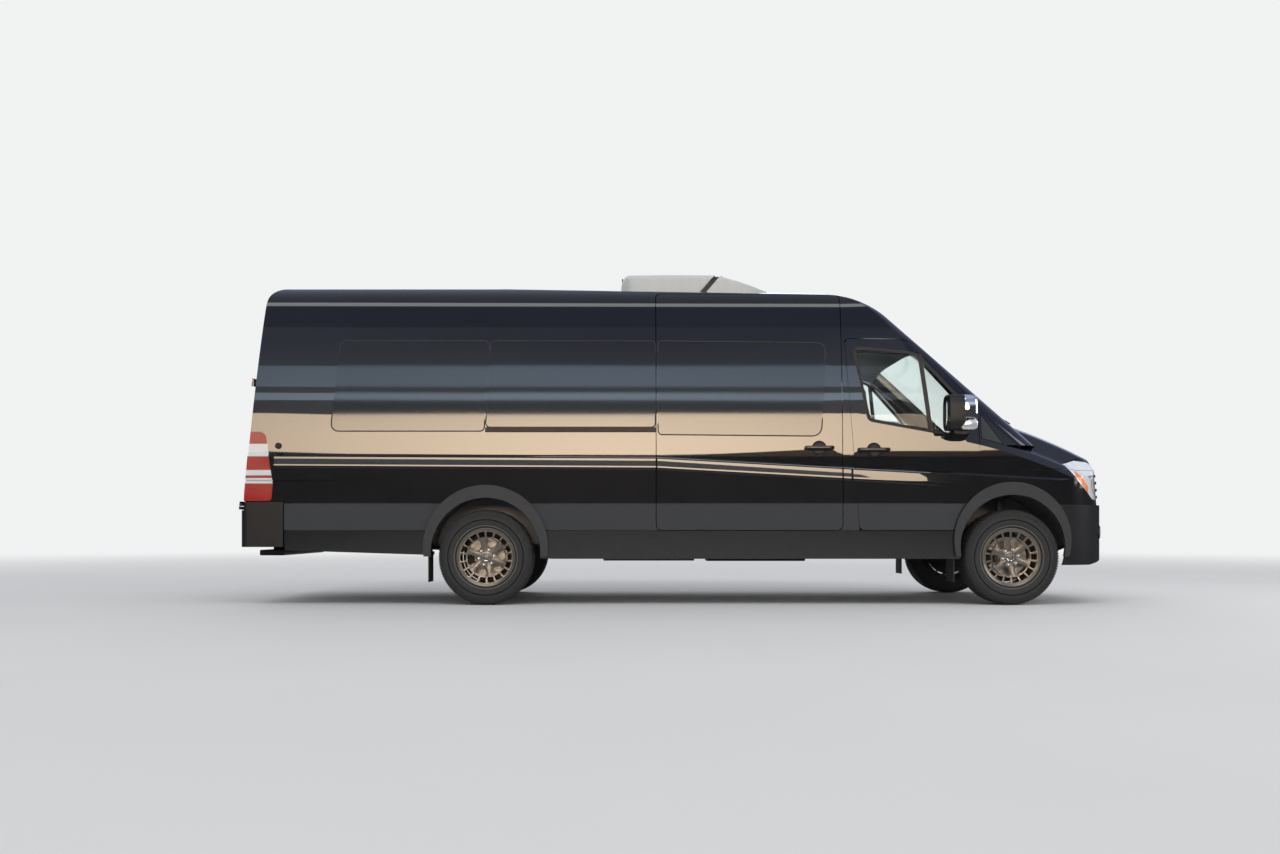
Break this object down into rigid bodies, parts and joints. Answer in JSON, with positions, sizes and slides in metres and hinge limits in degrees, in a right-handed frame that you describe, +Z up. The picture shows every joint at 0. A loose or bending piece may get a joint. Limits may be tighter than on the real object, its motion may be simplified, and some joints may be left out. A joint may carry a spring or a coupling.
{
  "type": "camper van",
  "caption": "Long high-roof van with flush side windows, a sliding side door, hinged cab and rear doors, a hood that lifts, steered front wheels and a rooftop air conditioner",
  "frame": {"origin": "on the ground, under the middle of the van's length and width", "axes": "+X forwards, +Y to the van's left, +Z up"},
  "size_m": [7.3472, 2.426, 2.893],
  "materials": {
    "paint": "gloss black paint",
    "trim": "dark grey grained plastic",
    "lamp_clear": "clear lens over bright reflectors",
    "lamp_red": "red lens with white bands",
    "privacy_glass": "near-black privacy glass",
    "clear_glass": "clear safety glass",
    "floor_lining": "dark painted sheet",
    "frame_steel": "black chassis paint",
    "engine_iron": "plain block",
    "wheel_alloy": "satin dark bronze",
    "tyre_rubber": "black rubber",
    "flap_rubber": "black rubber",
    "seat_cloth": "dark cloth",
    "mirror_chrome": "chrome cap on black arm",
    "unit_shell": "off-white moulded shell"
  },
  "bodies": {
    "van_body": {"side_wall_left": "paint", "side_wall_right": "paint", "rear_frame": "paint", "roof": "paint", "cab_frame": "paint", "fenders": "paint", "sliding_door": "paint", "sill_panels": "paint", "grille": "trim", "bumper_front": "trim", "bumper_rear": "trim", "arch_flares": "trim", "slide_rail": "trim", "dashboard": "trim", "steering_wheel": "trim", "headlamps": "lamp_clear", "tail_lamps": "lamp_red", "side_windows": "privacy_glass", "windshield": "clear_glass", "floor": "floor_lining", "chassis_frame": "frame_steel", "fuel_tank": "frame_steel", "exhaust": "frame_steel", "rear_axle": "frame_steel", "leaf_springs": "frame_steel", "front_suspension": "frame_steel", "propeller_shaft": "frame_steel", "seat_bases": "frame_steel", "engine_block": "engine_iron", "mudflaps": "flap_rubber", "seat_cushions": "seat_cloth", "air_conditioner": "unit_shell"},
    "front_door_left_body": {"front_door_left": "paint", "front_window_left": "clear_glass", "mirror_left": "mirror_chrome"},
    "front_door_right_body": {"front_door_right": "paint", "front_window_right": "clear_glass", "mirror_right": "mirror_chrome"},
    "rear_door_left_body": {"rear_door_left": "paint", "rear_window_left": "privacy_glass"},
    "rear_door_right_body": {"rear_door_right": "paint", "rear_window_right": "privacy_glass"},
    "hood_body": {"hood": "paint"},
    "knuckle_left_body": {"knuckle_left": "frame_steel"},
    "knuckle_right_body": {"knuckle_right": "frame_steel"},
    "wheel_front_left": {"rim_front_left": "wheel_alloy", "tyre_front_left": "tyre_rubber"},
    "wheel_front_right": {"rim_front_right": "wheel_alloy", "tyre_front_right": "tyre_rubber"},
    "wheel_rear_left": {"rim_rear_left": "wheel_alloy", "tyre_rear_left": "tyre_rubber"},
    "wheel_rear_right": {"rim_rear_right": "wheel_alloy", "tyre_rear_right": "tyre_rubber"}
  },
  "joints": [
    {"name": "front_door_left_hinge", "type": "hinge", "parent": "van_body", "child": "front_door_left_body", "pos_m": [2.4055, 0.988, 1.073], "axis": [0, 0.044, -0.999], "range_deg": [0, 70]},
    {"name": "front_door_right_hinge", "type": "hinge", "parent": "van_body", "child": "front_door_right_body", "pos_m": [2.4055, -0.988, 1.073], "axis": [0, 0.044, 0.999], "range_deg": [0, 70]},
    {"name": "rear_door_left_hinge", "type": "hinge", "parent": "van_body", "child": "rear_door_left_body", "pos_m": [-3.66, 0.991, 0.9], "axis": [-0.0845, 0.0498, -0.9952], "range_deg": [0, 270]},
    {"name": "rear_door_right_hinge", "type": "hinge", "parent": "van_body", "child": "rear_door_right_body", "pos_m": [-3.66, -0.991, 0.9], "axis": [0.0845, 0.0498, 0.9952], "range_deg": [0, 270]},
    {"name": "hood_hinge", "type": "hinge", "parent": "van_body", "child": "hood_body", "pos_m": [2.89, 0, 1.535], "axis": [0, -1, 0], "range_deg": [0, 60]},
    {"name": "steering_left", "type": "hinge", "parent": "van_body", "child": "knuckle_left_body", "pos_m": [2.6685, 0.74, 0.27], "axis": [0, -0.1567, 0.9876], "range_deg": [-36, 36]},
    {"name": "steering_right", "type": "hinge", "parent": "van_body", "child": "knuckle_right_body", "pos_m": [2.6685, -0.74, 0.27], "axis": [0, 0.1567, 0.9876], "range_deg": [-36, 36]},
    {"name": "wheel_front_left_spin", "type": "hinge", "parent": "knuckle_left_body", "child": "wheel_front_left", "pos_m": [2.6685, 0.855, 0.393], "axis": [0, 1, 0], "continuous": true},
    {"name": "wheel_front_right_spin", "type": "hinge", "parent": "knuckle_right_body", "child": "wheel_front_right", "pos_m": [2.6685, -0.855, 0.393], "axis": [0, 1, 0], "continuous": true},
    {"name": "wheel_rear_left_spin", "type": "hinge", "parent": "van_body", "child": "wheel_rear_left", "pos_m": [-1.6565, 0.855, 0.393], "axis": [0, 1, 0], "continuous": true},
    {"name": "wheel_rear_right_spin", "type": "hinge", "parent": "van_body", "child": "wheel_rear_right", "pos_m": [-1.6565, -0.855, 0.393], "axis": [0, 1, 0], "continuous": true}
  ],
  "couplings": [
    {"joint": "steering_right", "follows": "steering_left", "ratio": 1}
  ]
}
